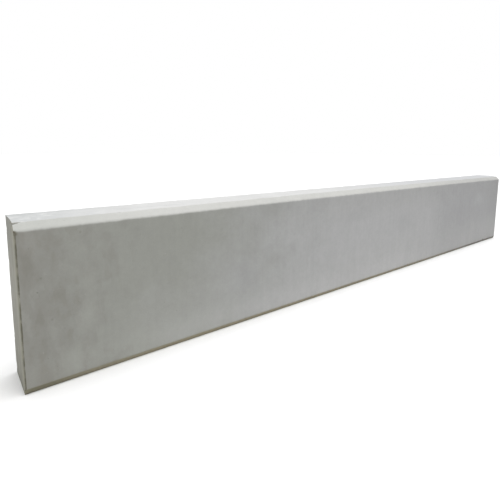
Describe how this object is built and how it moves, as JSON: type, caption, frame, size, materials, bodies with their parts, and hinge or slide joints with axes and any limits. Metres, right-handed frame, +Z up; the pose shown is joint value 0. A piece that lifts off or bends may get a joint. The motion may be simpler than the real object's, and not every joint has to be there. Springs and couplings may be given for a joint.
{
  "type": "vertical-face precast concrete barrier",
  "caption": "Long upright precast concrete barrier unit with plain vertical faces, a splayed top front edge, a bar cage inside and threaded lifting sockets in its back face.",
  "frame": {"origin": "middle of the underside, on the ground", "axes": "+X along the length, +Z up, the moulded show face with the splayed top edge looks along -Y and the back face with the sockets along +Y"},
  "size_m": [6, 0.28, 0.9],
  "materials": {
    "concrete": "matte, steel-mould smooth",
    "rebar": "mill scale with light rust",
    "socket_steel": "zinc plated, dulled",
    "plate_steel": "mill scale",
    "spacer_plastic": "recycled plastic, matte"
  },
  "bodies": {
    "root": {"concrete_body": "concrete", "bottom_corner_bars": "rebar", "top_corner_bars": "rebar", "front_face_bars": "rebar", "back_face_bars": "rebar", "shear_links": "rebar", "left_end_u_bars": "rebar", "right_end_u_bars": "rebar", "cross_ties": "rebar", "socket_tubes": "socket_steel", "socket_foot_plates": "plate_steel", "socket_cross_bars": "rebar", "face_chairs": "spacer_plastic", "bottom_wheel_spacers": "spacer_plastic", "top_wheel_spacers": "spacer_plastic", "end_wheel_spacers": "spacer_plastic"}
  },
  "joints": []
}
